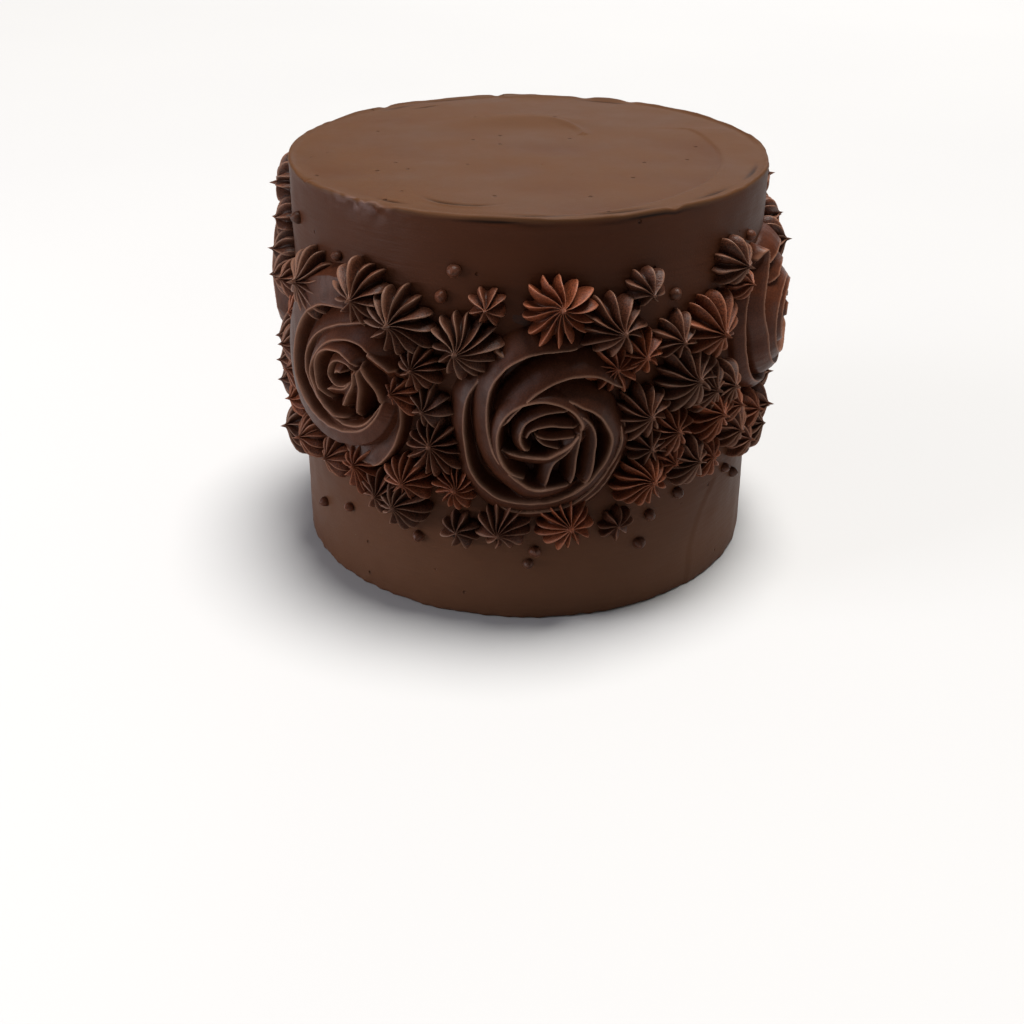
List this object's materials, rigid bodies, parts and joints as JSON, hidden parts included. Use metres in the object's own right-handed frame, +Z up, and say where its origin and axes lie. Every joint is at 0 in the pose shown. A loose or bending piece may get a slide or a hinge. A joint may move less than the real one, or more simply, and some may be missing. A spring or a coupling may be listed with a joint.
{
  "type": "layer cake",
  "caption": "Tall round layer cake in smooth chocolate buttercream, uncut, with a flat sharp-edged top and a band of piped roses, ribbed stars and beads round its side.",
  "frame": {"origin": "middle of the flat underside, where the cake rests", "axes": "+Z up along the cake's axis, -Y towards the front shown in the picture, +X to the right"},
  "size_m": [0.1792, 0.1804, 0.136],
  "materials": {
    "buttercream": "smooth chocolate buttercream, scraped flat, soft satin sheen",
    "rose_buttercream": "dark chocolate buttercream, piped, satin",
    "star_buttercream": "dark and reddish brown chocolate buttercream, piped in fine ridges, satin"
  },
  "bodies": {
    "root": {"cake": "buttercream", "rose_back": "rose_buttercream", "rose_back_left": "rose_buttercream", "rose_back_right": "rose_buttercream", "rose_front": "rose_buttercream", "rose_left": "rose_buttercream", "rose_right": "rose_buttercream", "stars_back_left_1": "star_buttercream", "stars_back_left_2": "star_buttercream", "stars_back_left_3": "star_buttercream", "stars_back_left_4": "star_buttercream", "stars_back_left_5": "star_buttercream", "stars_back_left_6": "star_buttercream", "stars_back_right_1": "star_buttercream", "stars_back_right_2": "star_buttercream", "stars_back_right_3": "star_buttercream", "stars_front_left_1": "star_buttercream", "stars_front_left_2": "star_buttercream", "stars_front_left_3": "star_buttercream", "stars_front_left_4": "star_buttercream", "stars_front_right_1": "star_buttercream", "stars_front_right_2": "star_buttercream", "stars_front_right_3": "star_buttercream", "stars_front_right_4": "star_buttercream", "stars_front_right_5": "star_buttercream", "stars_front_right_6": "star_buttercream", "stars_left_1": "star_buttercream", "stars_left_2": "star_buttercream", "stars_left_3": "star_buttercream", "stars_left_4": "star_buttercream", "stars_left_5": "star_buttercream", "stars_left_6": "star_buttercream", "stars_left_7": "star_buttercream", "stars_right_1": "star_buttercream", "stars_right_2": "star_buttercream", "stars_right_3": "star_buttercream"}
  },
  "joints": []
}
